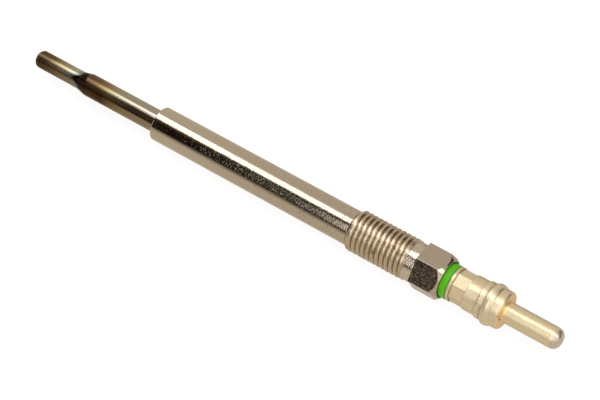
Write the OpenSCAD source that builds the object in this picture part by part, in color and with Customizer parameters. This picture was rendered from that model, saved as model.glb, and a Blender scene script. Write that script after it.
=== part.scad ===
// Diesel glow plug of the sheathed-element kind, lying along X with its heater tip at -X.
// Millimetres. The origin is on the axis, at the front face of the shank, where the plug seats.
// Turned pieces are given as [x, radius] outlines and spun round the X axis.

/* [Housing] */
// Diameter of the plain shank
shank_d = 6.7; // [6.4:0.1:7.2]
// Length of the plain shank, from its front face to the thread
shank_len = 44.15; // [30:0.05:60]
// Chamfer on the front edge of the shank
shank_edge = 0.2; // [0.1:0.05:0.5]
// Outer diameter of the thread, a little under its nominal 8 mm as such threads are cut
thread_d = 7.9; // [7.6:0.1:9]
// Length of the thread, with its lead-in chamfer
thread_len = 11.8; // [8:0.1:18]
// Length of the thread's lead-in chamfer
thread_lead_len = 1.2; // [0.5:0.1:2]
// Diameter of the plain collar between thread and hexagon
collar_d = 7.5; // [7:0.1:8]
// Length of the plain collar
collar_len = 2.6; // [1:0.1:4]
// Width of the hexagon across its flats
hex_af = 8; // [7.8:0.1:10]
// Length of the hexagon
hex_len = 5.5; // [5:0.1:8]
// Diameter of the flat end of the hexagon, inside its chamfer
hex_end_d = 7.9; // [7.4:0.05:7.95]
// Angle between the hexagon's end chamfer and the axis
hex_chamfer_angle = 45; // [30:1:60]
// Diameter of the bore behind the glow tube
bore_d = 5; // [4.2:0.1:5.4]
// Diameter of the rear counterbore, round the seal and the neck of the insulating ring
counterbore_d = 5.8; // [5.4:0.1:6]
// Diameter of the shallow recess in the end of the hexagon
recess_d = 7; // [6.8:0.1:7.1]
// Depth of the shallow recess in the end of the hexagon
recess_depth = 0.5; // [0.3:0.1:1]

/* [Glow tube] */
// Diameter of the tube where it leaves the housing
tube_d = 4.4; // [4:0.1:5]
// Diameter of the swaged heater tip
tip_d = 3.5; // [3.2:0.1:4]
// Wall of the tube
tube_wall = 0.5; // [0.4:0.05:0.6]
// How far the tube stands out of the shank
tube_reach = 29.6; // [24:0.1:36]
// Length of the slim heater tip
tip_len = 10.55; // [8:0.05:14]
// Length of the taper between the tube's two diameters
taper_len = 1.95; // [1:0.05:4]
// Radius round the closed end of the tip
tip_radius = 1; // [0.4:0.05:1.2]
// Thickness of the closed end of the tip
tip_floor = 0.9; // [0.6:0.1:1.5]
// Length of tube that is pressed into the shank
tube_seat_len = 14; // [10:0.5:20]

/* [Heating element] */
// Mean diameter of both coils
coil_d = 1.7; // [1.5:0.1:1.8]
// Diameter of the heater coil's wire
heater_wire_d = 0.36; // [0.3:0.02:0.4]
// Distance between turns of the heater coil
heater_pitch = 0.8; // [0.7:0.05:1.2]
// Diameter of the control coil's wire
control_wire_d = 0.5; // [0.4:0.02:0.6]
// Distance between turns of the control coil
control_pitch = 1.4; // [1:0.1:2]
// Turns of the control coil that grip the end of the electrode
grip_turns = 3; // [2:1:4]
// Length of the rubber plug in the tube's open end
tube_seal_len = 4; // [3:0.5:6]

/* [Centre electrode] */
// Diameter of the electrode in the housing and the terminal
electrode_d = 3; // [2.6:0.1:3.2]
// Diameter of the electrode where it passes down the glow tube
electrode_neck_d = 1.9; // [1.8:0.1:2.2]
// Length of electrode inside the glow tube
electrode_in_tube = 16; // [13:0.5:18]
// Chamfer on the ends of the electrode
electrode_edge = 0.3; // [0.1:0.05:0.4]

/* [Insulating ring] */
// Diameter of the ring's flange
ring_d = 6.6; // [6.2:0.1:6.7]
// How far the flange stands out of the hexagon
ring_stand = 1.25; // [0.8:0.05:2]
// Radius on the outer edges of the flange
ring_edge = 0.2; // [0.1:0.05:0.3]
// Length of the ring's neck inside the counterbore
ring_neck_len = 2.5; // [1.5:0.1:4]

/* [Terminal] */
// Diameter of the terminal's tail at the insulating ring
tail_d = 6.55; // [6.2:0.05:6.9]
// Length of the whole terminal, with its contact pin
terminal_len = 21.95; // [20:0.05:26]
// Distance from the tail's end to the crimp
crimp_start = 0.8; // [0.6:0.05:1.5]
// Length of the crimp
crimp_len = 2.8; // [2:0.05:3.5]
// Width of the crimp across its flats
crimp_af = 5.9; // [5.7:0.05:6.3]
// Turn of the crimp's flats about the axis
crimp_turn = 24; // [0:1:45]
// Number of flats round the crimp
crimp_flats = 8; // [6:1:10]
// Diameter of the plain stretch behind the crimp
barrel_d = 6.7; // [6.5:0.05:7]
// Distance from the tail's end to the shoulder
shoulder_start = 6.05; // [5:0.05:7.5]
// Diameter of the shoulder in front of the snap ridge
shoulder_d = 7.15; // [6.9:0.05:7.4]
// Length of the shoulder
shoulder_len = 1.35; // [0.8:0.05:2]
// Diameter of the snap ridge
ridge_d = 7.95; // [7.6:0.05:8.4]
// Length of the snap ridge at its foot
ridge_len = 1.8; // [1.4:0.05:2.4]
// Diameter of the head behind the snap ridge
head_d = 7.2; // [7:0.05:7.5]
// Length of the head
head_len = 1.75; // [1.2:0.05:2.5]
// Radius on the end of the head
head_radius = 0.6; // [0.3:0.05:0.8]
// Diameter of the contact pin
pin_d = 4; // [3.8:0.1:5]
// Radius round the end of the contact pin
pin_radius = 1.2; // [0.6:0.05:1.6]
// Depth of the hole that takes the electrode
terminal_bore_len = 7.5; // [5:0.1:9]

/* [Hidden] */
$fn = 96;

// Gap between pieces that are pressed, packed or clamped together
fit_gap = 0.01;
// How far a cut runs past an open end
cut_over = 1;
// Small step that blends one turned diameter into the next
step_blend = 0.15;
// Degrees between the points of a rounded edge
arc_step = 15;
// Segments in one turn of a coil, and sides of its wire
coil_steps = 16;
wire_sides = 6;

// Places along the axis, from the front of the shank
thread_x = shank_len;
collar_x = thread_x + thread_len;
hex_x = collar_x + collar_len;
hex_end_x = hex_x + hex_len;
recess_x = hex_end_x - recess_depth;
ring_end_x = hex_end_x + ring_stand;
ring_neck_x = recess_x - ring_neck_len;

tip_x = -tube_reach;
taper_x = tip_x + tip_len;
tube_x = taper_x + taper_len;
floor_x = tip_x + tip_floor;
tube_bore_d = tube_d - 2 * tube_wall;
tip_bore_d = tip_d - 2 * tube_wall;
tube_seal_x = tube_seat_len - tube_seal_len;

hex_corner_r = hex_af / 2 / cos(30);

// The seal fills the space between the electrode and the counterbore, in front of the ring's neck
seal_d = (counterbore_d - electrode_d) / 2 - 2 * fit_gap;
counterbore_x = ring_neck_x - seal_d - 2 * fit_gap;

// The control coil grips a spigot on the front of the electrode, which clears the middle of its segments
electrode_x = tube_seat_len - electrode_in_tube;
spigot_d = (coil_d - control_wire_d) * cos(180 / coil_steps) - 2 * fit_gap;
grip_end_x = electrode_x + grip_turns * control_pitch;
spigot_end_x = grip_end_x + control_wire_d;
heater_x = floor_x + fit_gap + heater_wire_d / 2;
heater_turns = (taper_x - heater_x) / heater_pitch;
control_turns = (grip_end_x - taper_x) / control_pitch;

terminal_x = ring_end_x;
crimp_x = terminal_x + crimp_start;
barrel_x = crimp_x + crimp_len;
shoulder_x = terminal_x + shoulder_start;
ridge_x = shoulder_x + shoulder_len;
head_x = ridge_x + ridge_len;
pin_x = head_x + head_len;
terminal_end_x = terminal_x + terminal_len;
terminal_bore_end_x = terminal_x + terminal_bore_len;

// Points [x, radius] of a rounded edge, about a centre, from one angle to another
function edge(x, r, radius, from, to) =
    let (steps = max(1, round(abs(to - from) / arc_step)))
    [for (i = [0:steps])
        let (a = from + (to - from) * i / steps) [x + radius * cos(a), r + radius * sin(a)]];

// A solid turned from an outline of [x, radius] points
module turned(outline) {
    rotate([0, 90, 0])
        rotate_extrude()
            polygon([for (p = outline) [p[1], p[0]]]);
}

// A round cut or rod between two places on the axis
module round_bar(from_x, to_x, d) {
    translate([from_x, 0, 0])
        rotate([0, 90, 0])
            cylinder(d = d, h = to_x - from_x);
}

// A plain ring or bush between two places on the axis
module bush(from_x, to_x, outer_d, inner_d) {
    difference() {
        round_bar(from_x, to_x, outer_d);
        round_bar(from_x - cut_over, to_x + cut_over, inner_d);
    }
}

// Points of one ring of a coil's wire, at a place x and an angle a about the axis
function wire_ring(x, a, wire_r) = [
    for (k = [0:wire_sides - 1])
        let (s = 360 * k / wire_sides, r = coil_d / 2 + wire_r * cos(s))
        [x + wire_r * sin(s), r * cos(a), r * sin(a)]
];

// A wire coil round the axis, swept ring by ring
module coil(from_x, pitch, turns, start_turn, wire_d) {
    steps = ceil(turns * coil_steps);
    rings = [for (i = [0:steps])
        let (t = turns * i / steps)
        wire_ring(from_x + pitch * t, 360 * (start_turn + t), wire_d / 2)];
    points = [for (ring = rings) each ring];
    walls = [for (i = [0:steps - 1], k = [0:wire_sides - 1])
        let (
            a = i * wire_sides + k,
            b = i * wire_sides + (k + 1) % wire_sides,
            c = a + wire_sides,
            d = b + wire_sides
        )
        each [[a, b, d], [a, d, c]]];
    first_end = [for (k = [wire_sides - 1:-1:0]) k];
    last_end = [for (k = [0:wire_sides - 1]) steps * wire_sides + k];
    polyhedron(points = points, faces = concat(walls, [first_end, last_end]));
}

module heater_turns_of(wire_d) {
    coil(heater_x, heater_pitch, heater_turns, 0, wire_d);
}

module control_turns_of(wire_d) {
    coil(taper_x, control_pitch, control_turns, heater_turns, wire_d);
}

// The hexagon, with two flats level and the corners of its rear end turned off
module hexagon() {
    chamfer_slope = tan(hex_chamfer_angle);
    cone_r = hex_corner_r + cut_over;
    cone_x = hex_end_x - (cone_r - hex_end_d / 2) / chamfer_slope;
    intersection() {
        translate([hex_x, 0, 0])
            rotate([0, 90, 0])
                rotate(30)
                    cylinder(r = hex_corner_r, h = hex_len, $fn = 6);
        turned([
            [min(hex_x, cone_x) - cut_over, 0],
            [min(hex_x, cone_x) - cut_over, cone_r],
            [cone_x, cone_r],
            [hex_end_x, hex_end_d / 2],
            [hex_end_x, 0]
        ]);
    }
}

// One steel turning: shank, thread blank, collar and hexagon, bored right through in steps
module housing() {
    color([0.72, 0.69, 0.63])
        difference() {
            union() {
                turned([
                    [0, 0],
                    [0, shank_d / 2 - shank_edge],
                    [shank_edge, shank_d / 2],
                    [thread_x, shank_d / 2],
                    [thread_x + thread_lead_len, thread_d / 2],
                    [collar_x, thread_d / 2],
                    [collar_x, collar_d / 2],
                    [hex_x, collar_d / 2],
                    [hex_x, 0]
                ]);
                hexagon();
            }
            round_bar(-cut_over, tube_seat_len, tube_d + 2 * fit_gap);
            round_bar(tube_seat_len, counterbore_x, bore_d);
            round_bar(counterbore_x, hex_end_x, counterbore_d);
            round_bar(recess_x, hex_end_x + cut_over, recess_d);
        }
}

// Closed heat-resisting tube, swaged slim over the heater and pressed into the shank
module glow_tube() {
    color([0.62, 0.55, 0.45])
        difference() {
            turned(concat(
                [[tip_x, 0]],
                edge(tip_x + tip_radius, tip_d / 2 - tip_radius, tip_radius, 180, 90),
                [
                    [taper_x, tip_d / 2],
                    [tube_x, tube_d / 2],
                    [tube_seat_len, tube_d / 2],
                    [tube_seat_len, 0]
                ]
            ));
            turned([
                [floor_x, 0],
                [floor_x, tip_bore_d / 2],
                [taper_x, tip_bore_d / 2],
                [tube_x, tube_bore_d / 2],
                [tube_seat_len + cut_over, tube_bore_d / 2],
                [tube_seat_len + cut_over, 0]
            ]);
        }
}

// Flanged plastic bush that keeps the terminal off the housing
module insulating_ring() {
    flange_r = ring_d / 2;
    color([0.25, 0.62, 0.1])
        difference() {
            turned(concat(
                [[ring_neck_x, 0], [ring_neck_x, counterbore_d / 2 - fit_gap],
                 [recess_x, counterbore_d / 2 - fit_gap]],
                edge(recess_x + ring_edge, flange_r - ring_edge, ring_edge, 180, 90),
                edge(ring_end_x - ring_edge, flange_r - ring_edge, ring_edge, 90, 0),
                [[ring_end_x, 0]]
            ));
            round_bar(ring_neck_x - cut_over, ring_end_x + cut_over, electrode_d + 2 * fit_gap);
        }
}

// The flats that the crimping die leaves on the terminal's tail
module crimp_die() {
    translate([crimp_x - cut_over, 0, 0])
        rotate([0, 90, 0])
            rotate(crimp_turn + 180 / crimp_flats)
                cylinder(d = crimp_af / cos(180 / crimp_flats), h = crimp_len + 2 * cut_over,
                         $fn = crimp_flats);
}

// Plated plug-in terminal: crimped tail, shoulder, snap ridge, head and round contact pin
module terminal() {
    ridge_mid_x = ridge_x + ridge_len / 2;
    ridge_rise = (ridge_d - head_d) / 2;
    color([0.83, 0.74, 0.56])
        difference() {
            turned(concat(
                [
                    [terminal_x, 0],
                    [terminal_x, tail_d / 2 - step_blend],
                    [terminal_x + step_blend, tail_d / 2],
                    [crimp_x, tail_d / 2],
                    [barrel_x, barrel_d / 2],
                    [shoulder_x, barrel_d / 2],
                    [shoulder_x + step_blend, shoulder_d / 2],
                    [ridge_x, shoulder_d / 2]
                ],
                [for (a = [arc_step:arc_step:180 - arc_step])
                    [ridge_mid_x - ridge_len / 2 * cos(a), head_d / 2 + ridge_rise * sin(a)]],
                [[head_x, head_d / 2]],
                edge(pin_x - head_radius, head_d / 2 - head_radius, head_radius, 90, 0),
                [[pin_x, pin_d / 2]],
                edge(terminal_end_x - pin_radius, pin_d / 2 - pin_radius, pin_radius, 90, 0),
                [[terminal_end_x, 0]]
            ));
            difference() {
                round_bar(crimp_x, barrel_x, barrel_d + cut_over);
                crimp_die();
            }
            round_bar(terminal_x - cut_over, terminal_bore_end_x, electrode_d + 2 * fit_gap);
        }
}

// Turned rod that carries the current from the terminal down into the glow tube
module centre_electrode() {
    electrode_end_x = terminal_bore_end_x - fit_gap;
    color([0.6, 0.6, 0.6])
        turned([
            [electrode_x, 0],
            [electrode_x, spigot_d / 2],
            [spigot_end_x, spigot_d / 2],
            [spigot_end_x, electrode_neck_d / 2],
            [tube_seat_len, electrode_neck_d / 2],
            [tube_seat_len, electrode_d / 2 - electrode_edge],
            [tube_seat_len + electrode_edge, electrode_d / 2],
            [electrode_end_x - electrode_edge, electrode_d / 2],
            [electrode_end_x, electrode_d / 2 - electrode_edge],
            [electrode_end_x, 0]
        ]);
}

// Rubber sealing ring in the counterbore, round the electrode
module electrode_seal() {
    color([0.1, 0.1, 0.1])
        translate([ring_neck_x - fit_gap - seal_d / 2, 0, 0])
            rotate([0, 90, 0])
                rotate_extrude()
                    translate([(electrode_d + counterbore_d) / 4, 0])
                        circle(d = seal_d);
}

// Rubber plug that closes the open end of the glow tube
module tube_seal() {
    color([0.15, 0.15, 0.15])
        bush(tube_seal_x, tube_seat_len - fit_gap, tube_bore_d - 2 * fit_gap, electrode_neck_d + 2 * fit_gap);
}

// Resistance-wire coil in the slim tip, its first turn on the floor of the tube
module heater_coil() {
    color([0.45, 0.43, 0.4])
        heater_turns_of(heater_wire_d);
}

// Thicker coil that goes on from the heater coil and grips the electrode
module control_coil() {
    color([0.55, 0.52, 0.48])
        control_turns_of(control_wire_d);
}

// Compacted powder that fills the tube round both coils and the electrode
module magnesia_filling() {
    color([0.93, 0.92, 0.88])
        difference() {
            turned([
                [floor_x + fit_gap, 0],
                [floor_x + fit_gap, tip_bore_d / 2 - fit_gap],
                [taper_x, tip_bore_d / 2 - fit_gap],
                [tube_x, tube_bore_d / 2 - fit_gap],
                [tube_seal_x - fit_gap, tube_bore_d / 2 - fit_gap],
                [tube_seal_x - fit_gap, 0]
            ]);
            round_bar(electrode_x - fit_gap, spigot_end_x, spigot_d + 2 * fit_gap);
            round_bar(spigot_end_x - fit_gap, tube_seal_x + cut_over, electrode_neck_d + 2 * fit_gap);
            heater_turns_of(heater_wire_d + 2 * fit_gap);
            control_turns_of(control_wire_d + 2 * fit_gap);
        }
}

housing();
glow_tube();
insulating_ring();
terminal();
centre_electrode();
electrode_seal();
tube_seal();
heater_coil();
control_coil();
magnesia_filling();
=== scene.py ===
import math

import bpy
from mathutils import Matrix, Vector


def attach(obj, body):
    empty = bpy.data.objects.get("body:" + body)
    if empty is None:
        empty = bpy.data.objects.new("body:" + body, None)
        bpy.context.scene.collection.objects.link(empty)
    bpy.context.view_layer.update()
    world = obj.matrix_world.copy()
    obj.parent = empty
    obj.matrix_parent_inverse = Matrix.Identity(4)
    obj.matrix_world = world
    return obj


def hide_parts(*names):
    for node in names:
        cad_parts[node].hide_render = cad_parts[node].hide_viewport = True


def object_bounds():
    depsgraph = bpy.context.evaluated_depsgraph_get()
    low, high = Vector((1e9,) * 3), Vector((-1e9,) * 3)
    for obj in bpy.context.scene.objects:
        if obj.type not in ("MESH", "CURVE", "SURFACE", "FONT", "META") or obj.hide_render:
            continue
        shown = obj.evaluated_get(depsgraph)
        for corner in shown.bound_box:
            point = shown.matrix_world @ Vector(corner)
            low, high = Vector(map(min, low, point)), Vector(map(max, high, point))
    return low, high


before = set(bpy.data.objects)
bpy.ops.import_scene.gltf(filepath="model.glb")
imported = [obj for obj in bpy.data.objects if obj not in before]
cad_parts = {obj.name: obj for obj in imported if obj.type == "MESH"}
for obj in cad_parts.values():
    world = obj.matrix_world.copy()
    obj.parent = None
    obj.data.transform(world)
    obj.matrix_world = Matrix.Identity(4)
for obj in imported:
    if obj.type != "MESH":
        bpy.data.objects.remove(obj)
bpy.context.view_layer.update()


# Heater coil and control coil
# Two wires of resistance alloy, wound and welded end to end in the nose of the glow tube.
# They stay as the source has them, since the magnesia hides them, and get a drawn-wire finish.
class Signal:
    """One socket of a node tree. Plain sums on it add Math nodes."""

    def __init__(self, tree, socket):
        self.tree, self.socket = tree, socket

    def node(self, kind, inputs, output=0, stops=None, **settings):
        """Adds any other node: its settings first, then the values or links of its sockets."""
        made = self.tree.nodes.new("ShaderNode" + kind)
        for name, setting in settings.items():
            setattr(made, name, setting)
        if stops:
            ramp = made.color_ramp.elements
            while len(ramp) < len(stops):
                ramp.new(1.0)
            for element, (place, colour) in zip(ramp, stops):
                element.position, element.color = place, (*colour, 1.0)
        for key, value in inputs.items():
            if isinstance(value, Signal):
                self.tree.links.new(value.socket, made.inputs[key])
            else:
                made.inputs[key].default_value = value
        return Signal(self.tree, made.outputs[output]) if made.outputs else None

    def maths(self, operation, *terms):
        return self.node("Math", dict(enumerate(terms)), operation=operation)

    def __add__(self, other):
        return self.maths("ADD", self, other)

    def __sub__(self, other):
        return self.maths("SUBTRACT", self, other)

    def __rsub__(self, other):
        return self.maths("SUBTRACT", other, self)

    def __mul__(self, other):
        return self.maths("MULTIPLY", self, other)

    def __truediv__(self, other):
        return self.maths("DIVIDE", self, other)

    def rise(self, start, end):
        """0 up to start and 1 from end, or the other way round where end is the smaller."""
        return self.node("MapRange", {"Value": self, "From Min": start, "From Max": end},
                         interpolation_type="SMOOTHSTEP")

    def blend(self, first, second):
        """The first colour where this is 0 and the second where it is 1."""
        return self.node("Mix", {0: self, 6: first, 7: second}, 2, data_type="RGBA")

    def noise(self, size_mm, detail, stretch=(1, 1, 1)):
        """Grain of about this size on a place signal, finer where stretch is larger."""
        scaled = self.node("VectorMath", {0: self, 1: stretch}, operation="MULTIPLY")
        return self.node("TexNoise", {"Vector": scaled, "Scale": 1000 / size_mm, "Detail": detail})

    def axes(self):
        """The three coordinates of a place signal, in millimetres."""
        parts = self.node("SeparateXYZ", {0: self})
        made = parts.socket.node
        return [Signal(self.tree, made.outputs[i]) * 1000 for i in range(3)]


def socket_name(word):
    return word.replace("_", " ").title().replace("Ior", "IOR")


def finish(name, **constants):
    """A new surface finish, with what is the same all over it set on the shader's own sockets."""
    material = bpy.data.materials.new(name)
    material.use_nodes = True
    shader = material.node_tree.nodes["Principled BSDF"]
    for socket, value in constants.items():
        shader.inputs[socket_name(socket)].default_value = value
    place = Signal(material.node_tree, None).node("TexCoord", {}, "Object")
    return material, place


def coat(material, **signals):
    """Feeds the varying values of a finish to its shader."""
    shader = material.node_tree.nodes["Principled BSDF"]
    for socket, signal in signals.items():
        material.node_tree.links.new(signal.socket, shader.inputs[socket_name(socket)])


def bump(height, height_mm):
    """A surface normal from a height signal of 0 to 1."""
    return height.node("Bump", {"Height": height, "Distance": height_mm / 1000, "Strength": 1.0})


def dress(node_name, material):
    """Gives a solid that stays as it is its finish."""
    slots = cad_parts[node_name].data.materials
    slots.clear()
    slots.append(material)


drawn_wire, place = finish("drawn_resistance_wire", metallic=1.0)
draw_marks = place.noise(0.2, 3, (0.3, 1, 1))
coat(drawn_wire, base_color=draw_marks.blend((0.30, 0.28, 0.26, 1), (0.46, 0.44, 0.40, 1)),
     roughness=draw_marks * 0.2 + 0.3)
dress("heater_coil", drawn_wire)
dress("control_coil", drawn_wire)


# Centre electrode
# Turned mild-steel rod that brings the current from the terminal to the control coil.
# Its spigot is pushed into the coil's last turns, and its rear end is crimped in the terminal.
turned_steel, place = finish("turned_electrode_steel", metallic=1.0)
tool_marks = place.noise(0.12, 2, (4, 0.3, 0.3))
coat(turned_steel, base_color=tool_marks.blend((0.40, 0.39, 0.38, 1), (0.58, 0.57, 0.55, 1)),
     roughness=tool_marks * 0.15 + 0.28)
dress("centre_electrode", turned_steel)


# Magnesia filling
# Magnesium oxide powder, shaken in round the coils and packed hard when the tube is swaged.
# It carries the heat to the tube and keeps the wires off it.
packed_powder, place = finish("packed_magnesia")
grains = place.noise(0.15, 4)
coat(packed_powder, base_color=grains.blend((0.78, 0.76, 0.70, 1), (0.92, 0.91, 0.87, 1)),
     roughness=grains * 0.1 + 0.85, normal=bump(grains, 0.03))
dress("magnesia_filling", packed_powder)


# Tube seal and electrode seal
# Moulded rubber: a plug in the glow tube's open end, and a ring in the housing's rear counterbore.
# Both are squeezed round the electrode and keep damp out of the powder.
seal_rubber, place = finish("moulded_seal_rubber")
bloom = place.noise(0.4, 3)
coat(seal_rubber, base_color=bloom.blend((0.02, 0.02, 0.02, 1), (0.05, 0.048, 0.045, 1)),
     roughness=bloom * 0.2 + 0.55)
dress("tube_seal", seal_rubber)
dress("electrode_seal", seal_rubber)


# Glow tube
# Heat-resisting nickel-alloy tube, closed at the nose, filled and then swaged to two diameters.
# Its test glow has tinted the nose from straw through brown to a dark ring at the taper.
TUBE_R, NOSE_R, NOSE_X, TAPER_X, BODY_X = 2.2, 1.75, -29.6, -19.05, -17.1
NOSE_EDGE, TUBE_END_X, TUBE_WALL, NOSE_FLOOR, TINT_LEN = 1.0, 14.0, 0.5, 0.9, 30


def rounded(x, r, radius, start, end, steps):
    """Points [x, radius] of a rounded edge about a centre, from one angle to another."""
    angles = [math.radians(start + (end - start) * i / steps) for i in range(steps + 1)]
    return [(x + radius * math.cos(a), r + radius * math.sin(a)) for a in angles]


def stations(x0, x1, r, count):
    """Points of a straight stretch, so that long faces are cut into short ones."""
    return [(x0 + (x1 - x0) * i / count, r) for i in range(count + 1)]


def turned(name, outline, segments=160, closed=True):
    """A lathe piece. Its outline, in millimetres, is drawn point by point and spun on the axis."""
    bpy.ops.object.select_all(action="DESELECT")
    x, r = outline[0]
    bpy.ops.mesh.primitive_plane_add(size=0.0001, location=(0, 0, 0))
    piece = bpy.context.object
    piece.name = piece.data.name = name
    bpy.ops.object.mode_set(mode="EDIT")
    bpy.ops.mesh.select_all(action="SELECT")
    bpy.ops.mesh.merge(type="CENTER")
    bpy.ops.transform.translate(value=(x / 1000, 0, r / 1000))
    for x1, r1 in outline[1:] + (outline[:1] if closed else []):
        bpy.ops.mesh.extrude_vertices_move(
            TRANSFORM_OT_translate={"value": ((x1 - x) / 1000, 0, (r1 - r) / 1000)})
        x, r = x1, r1
    bpy.ops.mesh.select_all(action="SELECT")
    bpy.ops.mesh.spin(steps=segments, angle=2 * math.pi, center=(0, 0, 0), axis=(1, 0, 0))
    bpy.ops.mesh.select_all(action="SELECT")
    bpy.ops.mesh.remove_doubles(threshold=1e-6)
    bpy.ops.mesh.normals_make_consistent(inside=False)
    bpy.ops.object.mode_set(mode="OBJECT")
    return piece


def fit(piece, material, node_name, angle=35):
    """Shades a finished piece, gives it its finish, and puts it in place of its solid."""
    bpy.ops.object.select_all(action="DESELECT")
    piece.select_set(True)
    bpy.context.view_layer.objects.active = piece
    bpy.ops.object.shade_smooth_by_angle(angle=math.radians(angle))
    piece.data.materials.clear()
    piece.data.materials.append(material)
    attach(piece, "root")
    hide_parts(node_name)


glow_tube = turned("glow_tube_swaged", (
    [(NOSE_X, 0)]
    + rounded(NOSE_X + NOSE_EDGE, NOSE_R - NOSE_EDGE, NOSE_EDGE, 180, 90, 10)
    + stations(NOSE_X + 1.5, TAPER_X - 0.25, NOSE_R, 8)
    + [(TAPER_X, NOSE_R + 0.015), (TAPER_X + 0.2, NOSE_R + 0.05)]
    + [(BODY_X - 0.2, TUBE_R - 0.05), (BODY_X, TUBE_R - 0.012)]
    + stations(BODY_X + 0.25, TUBE_END_X, TUBE_R, 24)
    + [(TUBE_END_X, TUBE_R - TUBE_WALL), (BODY_X, TUBE_R - TUBE_WALL)]
    + [(TAPER_X, NOSE_R - TUBE_WALL), (NOSE_X + NOSE_FLOOR, NOSE_R - TUBE_WALL)]
    + [(NOSE_X + NOSE_FLOOR, 0)]), closed=False)

tempered_alloy, place = finish("tempered_nickel_alloy", metallic=1.0)
x, y, z = place.axes()
radius = x.maths("SQRT", y * y + z * z)
facing = x.maths("MAXIMUM", (z * 0.71 - y * 0.70) / radius, 0.0)
wander = (place.noise(2.5, 2) - 0.5) * 0.9 + (place.noise(0.5, 2) - 0.5) * 0.3
tongue = x.maths("POWER", facing, 8.0) * x.rise(-17.5, -18.3) * 1.9
round_edge = (1 - facing) * x.rise(-18.3, -17.6) * x.rise(-12, -16) * 1.1
dark_end = x.maths("MAXIMUM", x, -17.6)
tint = (x.maths("MINIMUM", x + wander + tongue, dark_end + wander) + round_edge - NOSE_X) / TINT_LEN
ABOVE = [
    (-29.6, (0.10, 0.062, 0.034)), (-25.5, (0.165, 0.112, 0.058)), (-23.1, (0.41, 0.33, 0.18)),
    (-19.8, (0.54, 0.53, 0.41)), (-19.1, (0.36, 0.365, 0.33)), (-18.4, (0.012, 0.005, 0.003)),
    (-17.1, (0.008, 0.0025, 0.001)), (-16.9, (0.14, 0.088, 0.056)), (-14.1, (0.22, 0.135, 0.061)),
    (-11.5, (0.40, 0.32, 0.18)), (-9.0, (0.45, 0.41, 0.31)), (0.4, (0.50, 0.465, 0.41)),
]
# The second table is a darker, browner copy of the tints for the tube's lower side: painted shade,
# blended in towards the underside.
SHADED_BENEATH = [
    (-29.6, (0.08, 0.045, 0.02)), (-27.0, (0.104, 0.06, 0.027)), (-24.4, (0.20, 0.124, 0.059)),
    (-21.8, (0.275, 0.226, 0.150)), (-19.2, (0.30, 0.28, 0.22)), (-18.3, (0.035, 0.022, 0.018)),
    (-17.2, (0.042, 0.024, 0.019)), (-15.4, (0.09, 0.05, 0.02)), (-12.8, (0.081, 0.034, 0.009)),
    (-10.3, (0.235, 0.156, 0.076)), (-8.0, (0.32, 0.24, 0.15)), (0.4, (0.39, 0.32, 0.226)),
]
above, shaded_beneath = [
    tint.node("ValToRGB", {0: tint}, stops=[((at - NOSE_X) / TINT_LEN, c) for at, c in tints])
    for tints in (ABOVE, SHADED_BENEATH)]
underside_shade = ((y * -0.78 - z * 0.62) / radius).rise(-0.25, 0.45)
tint_and_underside_shade = underside_shade.blend(above, shaded_beneath)
scuffs = place.noise(0.35, 3, (0.4, 1, 1))
coat(tempered_alloy, base_color=tint_and_underside_shade,
     roughness=x.rise(-4, -16) * 0.12 + scuffs * 0.06 + 0.1)
fit(glow_tube, tempered_alloy, "glow_tube")


# Housing
# One steel bar, turned, bored in steps, rolled with a fine M8 thread and plated with nickel.
# The glow tube is pressed into its shank; the hexagon at the rear takes the spanner.
SHANK_R, SHANK_EDGE, THREAD_X, LEAD_SLOPE, THREAD_R = 3.35, 0.2, 44.15, 1.0, 3.95
COLLAR_X, COLLAR_R, HEX_X, HEX_END_X, HEX_FLAT_R = 55.95, 3.75, 58.55, 64.05, 4.0
HEX_END_R, HEX_CHAMFER, HEX_FRONT_R, HEX_BLANK_R = 3.8, math.tan(math.radians(37)), 3.9, 5.0
CHAMFER_ROOM, EDGE_BREAK, EDGE_ANGLE = 0.5, 0.07, math.radians(30)
RECESS_X, RECESS_R, COUNTERBORE_R, COUNTERBORE_X = 63.55, 3.5, 2.9, 59.65
BORE_R, SOCKET_R = 2.5, 2.21
PITCH, THREAD_DEPTH, RINGS_A_TURN, CREST_CURVE = 1.0, 0.36, 28, 2.4
LEAD_START, LEAD_LEN, RUN_OUT_X, RUN_OUT_LEN = 0.4, 0.6, 56.5, 0.7

housing = turned("housing_turned", (
    [(0, SOCKET_R), (0, SHANK_R - SHANK_EDGE - 0.05)]
    + rounded(SHANK_EDGE, SHANK_R - SHANK_EDGE, SHANK_EDGE, 180, 90, 8)
    + [(SHANK_EDGE + 0.04, SHANK_R)]
    + stations(SHANK_EDGE + 0.6, THREAD_X - 0.3, SHANK_R, 40)
    + [(THREAD_X - 0.05, SHANK_R), (THREAD_X - 0.01, SHANK_R)]
    + stations(THREAD_X + 0.03, RUN_OUT_X, THREAD_R,
               round((RUN_OUT_X - THREAD_X) * RINGS_A_TURN))
    + stations(RUN_OUT_X + 0.1, HEX_X, COLLAR_R, 6)
    + [(HEX_X, HEX_FRONT_R)]
    + stations(HEX_X, HEX_END_X - CHAMFER_ROOM, HEX_BLANK_R, 2)
    + [(HEX_END_X, HEX_END_R), (HEX_END_X, RECESS_R), (RECESS_X, RECESS_R)]
    + [(RECESS_X, COUNTERBORE_R), (COUNTERBORE_X, COUNTERBORE_R), (COUNTERBORE_X, BORE_R)]
    + [(TUBE_END_X, BORE_R), (TUBE_END_X, SOCKET_R)]
), segments=192)


def reshape(piece, move):
    """Moves the points of a lathe piece. move takes x, radius and angle from the top, in mm."""
    for point in piece.data.vertices:
        x, y, z = point.co * 1000
        x, r, angle = move(x, math.hypot(y, z), math.atan2(y, z))
        point.co = Vector((x, r * math.sin(angle), r * math.cos(angle))) / 1000
    piece.data.update()


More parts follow.
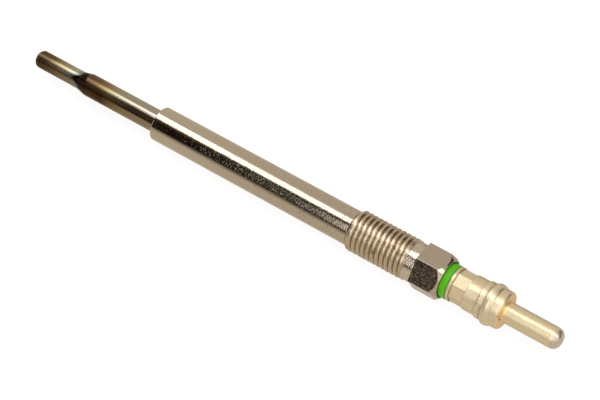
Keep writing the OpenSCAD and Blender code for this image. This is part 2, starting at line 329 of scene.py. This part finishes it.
def soften(piece, width_mm):
    """Breaks the sharp edges of a piece by a narrow flat."""
    bpy.ops.object.select_all(action="DESELECT")
    piece.select_set(True)
    bpy.context.view_layer.objects.active = piece
    bevel = piece.modifiers.new("edges", "BEVEL")
    bevel.limit_method, bevel.angle_limit = "ANGLE", EDGE_ANGLE
    bevel.width, bevel.segments = width_mm / 1000, 1
    bpy.ops.object.modifier_apply(modifier="edges")
    bpy.ops.object.mode_set(mode="EDIT")
    bpy.ops.mesh.select_all(action="SELECT")
    bpy.ops.mesh.remove_doubles(threshold=1e-7)
    bpy.ops.object.mode_set(mode="OBJECT")


def cut_hexagon(x, r, angle):
    """Brings the widest rings in to the six flats, and the last one on to the chamfer's edge."""
    if r < (HEX_FLAT_R + HEX_BLANK_R) / 2:
        return x, r, angle
    from_flat = (angle + math.pi / 6) % (math.pi / 3) - math.pi / 6
    r = HEX_FLAT_R / math.cos(from_flat)
    if x > HEX_END_X - CHAMFER_ROOM - 0.1:
        x = HEX_END_X - (r - HEX_END_R) / HEX_CHAMFER
    return x, r, angle


def cut_thread(x, r, angle):
    """Sinks the rolled groove into the blank, shallower over the lead-in and the run-out."""
    if not THREAD_X < x < RUN_OUT_X + 0.01 or r < SHANK_R + 0.01:
        return x, r, angle
    turn = (x + PITCH * angle / (2 * math.pi)) / PITCH % 1
    crest = 1 - (1 - abs(2 * turn - 1)) ** CREST_CURVE
    leaving = min(1.0, max(0.0, (RUN_OUT_X - x) / RUN_OUT_LEN))
    fade = leaving * min(1.0, max(0.0, (x - THREAD_X - LEAD_START) / LEAD_LEN))
    lead = SHANK_R + (x - THREAD_X) / LEAD_SLOPE
    blank = THREAD_R if x < COLLAR_X else THREAD_R + (COLLAR_R - THREAD_R) * (1 - fade)
    ridge = min(blank, lead)
    root = max(SHANK_R + 0.01, THREAD_R - THREAD_DEPTH)
    groove = root + (ridge - root) * (1 - fade)
    return x, max(min(groove + (ridge - groove) * crest, ridge), SHANK_R + 0.002), angle


reshape(housing, cut_hexagon)
soften(housing, EDGE_BREAK)
reshape(housing, cut_thread)

plated_nickel, place = finish("plated_nickel_steel", metallic=1.0)
x, y, z = place.axes()
fine = place.noise(0.15, 0)
pits = place.noise(0.28, 1).rise(0.46, 0.68)
on_thread = x.rise(THREAD_X - 0.05, THREAD_X + 0.05) * x.rise(RUN_OUT_X, RUN_OUT_X - 0.2)
on_hexagon = x.rise(HEX_X - 0.05, HEX_X + 0.05)
stain = place.noise(1.6, 3).rise(0.60, 0.72) * on_thread
on_collar = x.rise(RUN_OUT_X, RUN_OUT_X + 0.1) * x.rise(HEX_X, HEX_X - 0.1)
flecks = pits * x.rise(0, 40) * x.rise(THREAD_X + 1, THREAD_X) * 0.3
flecks = flecks + fine.rise(0.54, 0.62) * on_collar * 0.5
# The plating's colour is built up here: its own specks and stains, with painted shade in the
# thread's roots and round the recess.
tarnish_and_shade = flecks.blend((0.66, 0.59, 0.49, 1), (0.05, 0.04, 0.03, 1))
tarnish_and_shade = (on_hexagon * 0.08).blend(tarnish_and_shade, (0, 0, 0, 1))
tarnish_and_shade = (on_collar * (1 - flecks) * 0.45).blend(tarnish_and_shade, (1, 0.92, 0.8, 1))
radius = x.maths("SQRT", y * y + z * z)
# The thread is lighter on its crests, partly rubbed plating and partly painted glint, and darker
# down in its roots as painted shade in the grooves.
crest_wear_and_groove_shade = radius.rise(THREAD_R - 0.24, THREAD_R - 0.04)
thread_colour = crest_wear_and_groove_shade.blend((0.50, 0.40, 0.27, 1), (0.66, 0.57, 0.44, 1))
tarnish_and_shade = on_thread.blend(tarnish_and_shade, thread_colour)
tarnish_and_shade = stain.blend(tarnish_and_shade, (0.34, 0.23, 0.11, 1))
# The hexagon's end face round the recess is painted near black: painted shade in the gap round the
# ring.
shade_in_hollows = x.rise(RECESS_X - 0.1, RECESS_X) * radius.rise(RECESS_R + 0.12, RECESS_R + 0.02)
tarnish_and_shade = shade_in_hollows.blend(tarnish_and_shade, (0.02, 0.016, 0.012, 1))
streaks = place.noise(0.16, 2, (0.35, 1, 1)).rise(0.25, 0.75)
roughness = pits * (x.rise(0, 20) * 0.15 + 0.06) + 0.035
roughness = roughness + on_thread * (fine * 0.2 + 0.14 - roughness)
roughness = roughness + on_collar * (0.06 - roughness)
lead_in = x.rise(THREAD_X - 0.03, THREAD_X) * x.rise(THREAD_X + 0.5, THREAD_X + 0.35)
roughness = roughness + lead_in * (0.04 - roughness)
roughness = roughness + on_hexagon * (streaks * 0.13 + 0.05 - roughness)
on_shank = x.rise(0.3, 8) * x.rise(THREAD_X, THREAD_X - 0.1)
relief = on_collar * 1.6 + on_shank * 0.26 + on_thread * (1 - lead_in) * 2.2
grain = place.noise(0.32, 2) * relief
coat(plated_nickel, base_color=tarnish_and_shade, roughness=roughness, normal=bump(grain, 0.02))
fit(housing, plated_nickel, "housing", 12)


# Insulating ring
# Green moulded plastic bush. Its neck is pushed into the counterbore on top of the seal,
# and its flange keeps the terminal off the hexagon.
RING_R, RING_EDGE, RING_END_X, RING_NECK_X, ELECTRODE_R = 3.3, 0.2, 65.45, 61.05, 1.51
NECK_R, FLANGE_X = COUNTERBORE_R - 0.01, RECESS_X + 0.005

ring = turned("insulating_ring_moulded", (
    [(RING_NECK_X, ELECTRODE_R), (RING_NECK_X, NECK_R), (FLANGE_X, NECK_R)]
    + rounded(FLANGE_X + RING_EDGE, RING_R - RING_EDGE, RING_EDGE, 180, 90, 5)
    + rounded(RING_END_X - RING_EDGE, RING_R - RING_EDGE, RING_EDGE, 90, 0, 5)
    + [(RING_END_X, ELECTRODE_R)]))

green_plastic, place = finish("green_moulded_plastic", specular_ior_level=0.3)
mottle = place.noise(1.2, 3)
x = place.axes()[0]
# Both ends of the ring are painted dark green: painted shade where the ring sits in the hexagon's
# recess and where it meets the terminal.
edges = x.rise(RING_END_X - 0.17, RING_END_X - 0.03)
edges = edges + x.rise(HEX_END_X + 0.06, HEX_END_X - 0.06)
green = mottle.blend((0.082, 0.46, 0.004, 1), (0.10, 0.52, 0.007, 1))
coat(green_plastic, base_color=(edges * 0.7).blend(green, (0.012, 0.07, 0.002, 1)),
     roughness=place.noise(0.2, 2) * 0.12 + 0.3)
fit(ring, green_plastic, "insulating_ring")


# Terminal
# Turned terminal with a pale plating. Its tail is crimped on the electrode with eight flats,
# the ridge holds the connector's latch, and the round pin carries the current.
TAIL_X, TAIL_R, CRIMP_X, CRIMP_END_X, CRIMP_FLAT_R = 65.45, 3.275, 66.1, 68.9, 2.95
CRIMP_TURN, CRIMP_STEP = math.radians(24), math.radians(45)
BARREL_R, SHOULDER_X, SHOULDER_R, RIDGE_X, RIDGE_LEN = 3.35, 71.35, 3.575, 72.7, 1.8
HEAD_R, RIDGE_RISE, RIDGE_DIP, HEAD_EDGE, TAIL_EDGE = 3.6, 0.375, 0.05, 0.6, 0.15
PIN_X, PIN_R, PIN_END_X, PIN_EDGE, PIN_FLAT_R = 76.25, 2.0, 87.25, 1.2, 1.12
PIN_FILLET, PIN_CREASE, PIN_STEP, HOLE_END_X = 0.25, 1.45, 0.06, 72.8
PITS = [((76.16, -3.00, 1.39), 0.2), ((76.25, -2.46, 0.24), 0.36)]


def snap_ridge():
    """Outline of the ridge: full in front, hollow behind, with a small dip at its foot."""
    points = []
    for degrees in range(0, 181, 10):
        a = math.radians(degrees)
        swell = RIDGE_RISE * math.sin(a) ** (1.0 if degrees < 90 else 1.5)
        dip = RIDGE_DIP if degrees == 0 else 0
        points.append((RIDGE_X + RIDGE_LEN / 2 * (1 - math.cos(a)), HEAD_R + swell - dip))
    return points


terminal = turned("terminal_crimped", (
    [(TAIL_X, ELECTRODE_R)]
    + rounded(TAIL_X + TAIL_EDGE, TAIL_R - TAIL_EDGE, TAIL_EDGE, 180, 90, 4)
    + stations(TAIL_X + 2 * TAIL_EDGE, CRIMP_X - 0.04, TAIL_R, 3)
    + stations(CRIMP_X, CRIMP_END_X, TAIL_R + 0.03, 10)
    + stations(CRIMP_END_X + 0.04, SHOULDER_X, BARREL_R, 8)
    + [(SHOULDER_X + 0.12, SHOULDER_R - 0.03)]
    + stations(SHOULDER_X + 0.2, RIDGE_X - 0.12, SHOULDER_R, 4)
    + snap_ridge()
    + rounded(PIN_X - HEAD_EDGE, HEAD_R - HEAD_EDGE, HEAD_EDGE, 90, 0, 7)
    + [(PIN_X, PIN_R + PIN_FILLET + 0.1)]
    + rounded(PIN_X + PIN_FILLET, PIN_R + PIN_FILLET, PIN_FILLET, 180, 270, 4)
    + stations(PIN_X + 0.8, PIN_END_X - PIN_CREASE - 0.1, PIN_R, 10)
    + [(PIN_END_X - PIN_CREASE, PIN_R)]
    + rounded(PIN_END_X - PIN_EDGE, PIN_R - PIN_STEP - PIN_EDGE, PIN_EDGE, 80, 30, 9)
    + [(PIN_END_X - 0.03, PIN_FLAT_R + 0.07), (PIN_END_X, PIN_FLAT_R)]
    + [(PIN_END_X, PIN_FLAT_R - 0.1)]
    + [(PIN_END_X, 0), (HOLE_END_X, 0), (HOLE_END_X, ELECTRODE_R)]), segments=176)


def press_crimp(x, r, angle):
    """Presses the eight flats into the tail."""
    if CRIMP_X - 0.01 < x < CRIMP_END_X + 0.01 and r > TAIL_R:
        from_flat = (angle + CRIMP_TURN + CRIMP_STEP / 2) % CRIMP_STEP - CRIMP_STEP / 2
        r = min(TAIL_R + 0.02, CRIMP_FLAT_R / math.cos(from_flat))
    return x, r, angle


reshape(terminal, press_crimp)

pale_plating, place = finish("pale_terminal_plating", metallic=0.8)
x, y, z = place.axes()
cloud, frost, dimples = place.noise(1.1, 3), place.noise(0.25, 3), place.noise(0.55, 2)


def line_round(at, width):
    """A soft line round the piece at one place along it."""
    return (x - at).rise(-width, 0) * (x - at).rise(width, 0)


colour = (cloud * 0.6 + frost * 0.4).blend((0.75, 0.62, 0.395, 1), (0.95, 0.86, 0.63, 1))
# The ridge's crest and the head's edge are lighter and greyer: partly rubbed plating, partly
# painted highlight.
worn_and_highlit = line_round(RIDGE_X + RIDGE_LEN / 2, 0.8) + line_round(PIN_X - 0.6, 0.5)
colour = (worn_and_highlit * frost.rise(0.38, 0.56) * 0.8).blend(colour, (0.82, 0.74, 0.64, 1))
# Thin dark lines at the crimp's two steps, the shoulder, the ridge's foot and the corners between
# the crimp's flats: painted shade in these creases and along these edges, mottled by the cloud.
shade_in_hollows = (line_round(CRIMP_X, 0.12) + line_round(CRIMP_END_X, 0.12)) * 0.75
shade_in_hollows = shade_in_hollows + line_round(SHOULDER_X, 0.14) * 0.5
round_tail = x.maths("ARCTAN2", y, z) + CRIMP_TURN + CRIMP_STEP * 4
from_edge = x.maths("MODULO", round_tail, CRIMP_STEP) / CRIMP_STEP
pressed = x.rise(CRIMP_X - 0.1, CRIMP_X + 0.1) * x.rise(CRIMP_END_X + 0.1, CRIMP_END_X - 0.1)
ridges = from_edge.rise(0.45, 0.5) * from_edge.rise(0.55, 0.5) * pressed
shade_in_hollows = (shade_in_hollows + line_round(RIDGE_X - 0.05, 0.5) * 0.5 + ridges * 0.6) * (cloud + 0.45)
colour = shade_in_hollows.blend(colour, (0.26, 0.19, 0.115, 1))
rubbed = x.rise(PIN_END_X - 1.35, PIN_END_X - 1.0)
colour = (rubbed * 0.85).blend(colour, (0.72, 0.64, 0.58, 1))
warm = x.rise(PIN_X - 0.5, PIN_X - 0.1) * x.rise(PIN_X + 1.4, PIN_X + 0.2)
colour = (warm * 0.7).blend(colour, (1.0, 0.74, 0.37, 1))
for spot, width in PITS:
    spot_m = [v / 1000 for v in spot]
    away = place.node("VectorMath", {0: place, 1: spot_m}, 1, operation="DISTANCE")
    colour = (away * 1000).rise(width, width * 0.4).blend(colour, (0.06, 0.03, 0.008, 1))
coat(pale_plating, base_color=colour, roughness=frost * 0.24 + pressed * 0.2 + 0.21 - rubbed * 0.1,
     normal=bump(frost * 0.5 + dimples * 0.5, 0.05))
fit(terminal, pale_plating, "terminal", 40)


# Table
# A wide pale board that the plug lies on. It shows as white and takes a faint shadow,
# and the metal looks through it to the pale walls.
TABLE_SIZE, TABLE_X, TABLE_GAP = 4.0, 0.03, 0.00002
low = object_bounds()[0]
bpy.ops.object.select_all(action="DESELECT")
bpy.ops.mesh.primitive_plane_add(size=TABLE_SIZE, location=(TABLE_X, 0, low[2] - TABLE_GAP))
table = bpy.context.object
table.name = "table"
board = bpy.data.materials.new("pale_table_board")
board.use_nodes = True
board.node_tree.nodes.clear()
ray = Signal(board.node_tree, None).node("LightPath", {}, "Is Camera Ray")
mirrored = ray.node("LightPath", {}, "Is Glossy Ray")
through = ray.node("LightPath", {}, "Is Transmission Ray")
matt = ray.node("BsdfDiffuse", {"Color": (0.9, 0.9, 0.9, 1)})
glow = ray.node("Emission", {"Color": (1, 1, 1, 1), "Strength": 1.1})
clear = ray.node("BsdfTransparent", {})
seen = ray.node("MixShader", {0: ray * 0.82, 1: matt, 2: glow})
shown = ray.node("MixShader", {0: mirrored + through, 1: seen, 2: clear})
shown.node("OutputMaterial", {"Surface": shown})
table.data.materials.append(board)


# Studio light
# A long white softbox over the plug, and in front of it a dark flag with a hem and an opening.
# Pale walls stand all round, with a dark far end and corner. The camera sees them as white.
SURROUND, DEEP_SHADE = (0.595, 0.522, 0.43, 1), (0.06, 0.042, 0.03, 1)
FLOOR_SHADE = (0.16, 0.13, 0.10, 1)
BOX_WHITE, BOX_BRIGHT = (2.0, 2.0, 2.0, 1), (2.5, 2.5, 2.4, 1)
FLAG_BLACK, FLAG_GLOW = (0.012, 0.008, 0.005, 1), (0.10, 0.08, 0.06, 1)
GAP_START, GAP_SPAN = -1.0, 1.5
world = bpy.data.worlds.new("studio")
bpy.context.scene.world = world
world.use_nodes = True
world.node_tree.nodes.clear()
toward = Signal(world.node_tree, None).node("TexCoord", {}, "Generated")
x, y, z = [axis / 1000 for axis in toward.axes()]
lean = z.maths("ARCTAN2", y * -1, z) * (180 / math.pi)
skew = x.maths("MINIMUM", x, -0.33) + 0.45
step = x.rise(-0.4515, -0.4555) * x.rise(-0.60, -0.54)
near_edge = (lean - skew * 70 - 8.5) * (1 - step * 0.9) - step * 19.7
softbox = near_edge.rise(-22.7, -21.3) * (lean + step * 16.5).rise(22.6, 21.5)
ends = x.rise(-0.335, -0.325)
crisp = step.maths("MAXIMUM", step, ends)
hem = lean.rise(111, 76)
hem = hem + crisp * ((lean + skew * 30 - ends * 10).rise(87.5, 85.5) - hem)
flag = (lean + step * 15.5).rise(21.5, 22.6) * hem
opening = (lean + crisp * 8).rise(34, 44) * lean.rise(81, 71)
GAP = [
    (-0.70, (0.9, 0.82, 0.72)), (-0.58, (0.075, 0.046, 0.02)), (-0.482, (0.075, 0.038, 0.01)),
    (-0.456, (0.065, 0.046, 0.03)), (-0.453, (0.003, 0.0015, 0.0005)),
    (-0.42, (0.008, 0.005, 0.003)), (-0.40, (0.062, 0.05, 0.036)), (-0.375, (0.055, 0.047, 0.04)),
    (-0.3655, (0.085, 0.074, 0.064)), (-0.3625, (0.36, 0.33, 0.3)),
    (-0.357, (0.65, 0.6, 0.55)), (-0.353, (1.4, 1.3, 1.2)), (-0.337, (1.4, 1.3, 1.2)),
    (-0.331, (0.45, 0.42, 0.39)), (-0.29, (0.6, 0.56, 0.51)), (-0.26, (1.3, 1.2, 1.1)),
    (-0.2, (1.8, 1.7, 1.6)), (0.0, (1.7, 1.6, 1.5)), (0.3, (1.0, 0.93, 0.86)),
]
gap_stops = [((at - GAP_START) / GAP_SPAN, c) for at, c in GAP]
behind = x.node("ValToRGB", {0: (x - GAP_START) / GAP_SPAN}, stops=gap_stops)
rim = (lean.rise(40, 27) * (1 - crisp)).blend(FLAG_BLACK, FLAG_GLOW)
rim = x.rise(-0.296, -0.27).blend(rim, SURROUND)
walls = softbox.blend(SURROUND, step.blend(BOX_WHITE, BOX_BRIGHT))
walls = flag.blend(walls, opening.blend(rim, behind))
far_end = x.rise(-0.87, -0.91) * lean.rise(-26, -20) * lean.rise(90, 84)
corner = x.rise(0.05, 0.25) * lean.rise(-31, -44) * lean.rise(-100, -82)
shade = x.rise(-0.325, -0.305) * x.rise(-0.2, -0.24)
shade = shade * lean.rise(-70, -92) * lean.rise(-150, -135)
walls = shade.blend(walls, FLOOR_SHADE)
walls = far_end.maths("MAXIMUM", far_end, corner).blend(walls, DEEP_SHADE)
camera_ray = toward.node("LightPath", {}, "Is Camera Ray")
sky = toward.node("Background", {"Color": camera_ray.blend(walls, (1, 1, 1, 1)), "Strength": 1.0})
sky.node("OutputWorld", {"Surface": sky})


# Camera
# A long lens above and in front of the plug, turned so that the plug runs down to the right.
LENS, DISTANCE, TARGET, DROP = 129.7, 0.3915, Vector((0.03215, 0, 0)), 0.00011
SENSOR, ALONG, TIP, TURN = 36.0, math.radians(22.5), math.radians(38.7), math.radians(28.557)
toward_camera = Vector((math.sin(ALONG), -math.cos(ALONG) * math.sin(TIP),
                        math.cos(ALONG) * math.cos(TIP)))
plug_axis = (Vector((1, 0, 0)) - toward_camera.x * toward_camera).normalized()
across = toward_camera.cross(plug_axis)
right = math.cos(TURN) * plug_axis + math.sin(TURN) * across
up = math.cos(TURN) * across - math.sin(TURN) * plug_axis
camera_data = bpy.data.cameras.new("camera")
camera_data.lens, camera_data.sensor_width = LENS, SENSOR
camera = bpy.data.objects.new("camera", camera_data)
bpy.context.scene.collection.objects.link(camera)
stand_at = Matrix.Translation(TARGET - across * DROP + toward_camera * DISTANCE)
camera.matrix_world = stand_at @ Matrix((right, up, toward_camera)).transposed().to_4x4()
bpy.context.scene.camera = camera
bpy.context.scene.view_settings.view_transform = "Standard"
